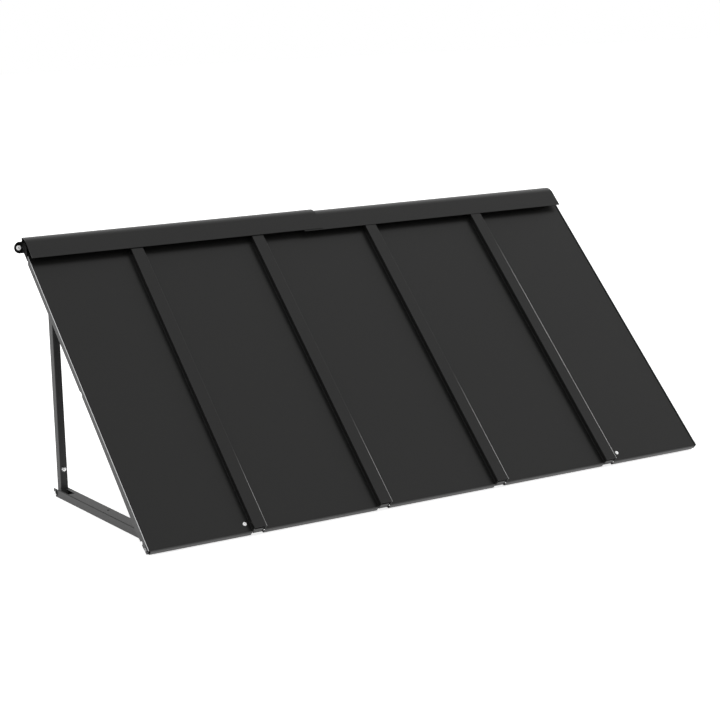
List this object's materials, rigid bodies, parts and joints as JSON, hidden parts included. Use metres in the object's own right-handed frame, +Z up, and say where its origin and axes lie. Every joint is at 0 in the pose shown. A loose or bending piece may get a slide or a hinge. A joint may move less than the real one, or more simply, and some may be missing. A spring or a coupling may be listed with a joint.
{
  "type": "metal door canopy",
  "caption": "Sloping sheet-metal roof for over a door, with batten caps, top flashing, wall rail, side rails and post-and-arm brackets that fasten to a wall.",
  "frame": {"origin": "middle of the wall rail's back face, which lies on the wall", "axes": "+X to the right along the wall, +Y into the wall, +Z up; the roof slopes down towards -Y"},
  "size_m": [2.044, 0.8055, 0.8159],
  "materials": {
    "charcoal_sheet": "satin powder coat, dark charcoal",
    "charcoal_frame": "satin powder coat, charcoal grey",
    "black_rail": "satin powder coat, black",
    "zinc": "bright zinc plate",
    "black_rubber": "matte"
  },
  "bodies": {
    "root": {"tray_panel_1": "charcoal_sheet", "tray_panel_2": "charcoal_sheet", "tray_panel_3": "charcoal_sheet", "tray_panel_4": "charcoal_sheet", "tray_panel_5": "charcoal_sheet", "batten_cap_1": "charcoal_sheet", "batten_cap_2": "charcoal_sheet", "batten_cap_3": "charcoal_sheet", "batten_cap_4": "charcoal_sheet", "top_flashing_left": "charcoal_sheet", "top_flashing_right": "charcoal_sheet", "joint_channel_1": "charcoal_frame", "joint_channel_2": "charcoal_frame", "joint_channel_3": "charcoal_frame", "joint_channel_4": "charcoal_frame", "front_rail": "charcoal_frame", "side_rail_left": "charcoal_frame", "post_left": "charcoal_frame", "arm_left": "charcoal_frame", "side_rail_rivet_left": "charcoal_frame", "side_rail_screw_left": "charcoal_frame", "side_rail_right": "charcoal_frame", "post_right": "charcoal_frame", "arm_right": "charcoal_frame", "side_rail_rivet_right": "charcoal_frame", "side_rail_screw_right": "charcoal_frame", "wall_rail": "black_rail", "pivot_bolt_left": "zinc", "pivot_nut_left": "zinc", "pivot_spacer_left": "zinc", "arm_bolt_left": "zinc", "arm_nut_left": "zinc", "post_screw_left_lower": "zinc", "post_screw_left_upper": "zinc", "ear_screw_left": "zinc", "panel_screw_left": "zinc", "pivot_bolt_right": "zinc", "pivot_nut_right": "zinc", "pivot_spacer_right": "zinc", "arm_bolt_right": "zinc", "arm_nut_right": "zinc", "post_screw_right_lower": "zinc", "post_screw_right_upper": "zinc", "ear_screw_right": "zinc", "panel_screw_right": "zinc", "channel_screw_1_upper": "zinc", "channel_screw_1_lower": "zinc", "channel_screw_2_upper": "zinc", "channel_screw_2_lower": "zinc", "channel_screw_3_upper": "zinc", "channel_screw_3_lower": "zinc", "channel_screw_4_upper": "zinc", "channel_screw_4_lower": "zinc", "flashing_rivet_left": "zinc", "flashing_rivet_lap": "zinc", "flashing_rivet_right": "zinc", "pivot_washer_left": "black_rubber", "side_rail_washer_left": "black_rubber", "pivot_washer_right": "black_rubber", "side_rail_washer_right": "black_rubber"}
  },
  "joints": []
}
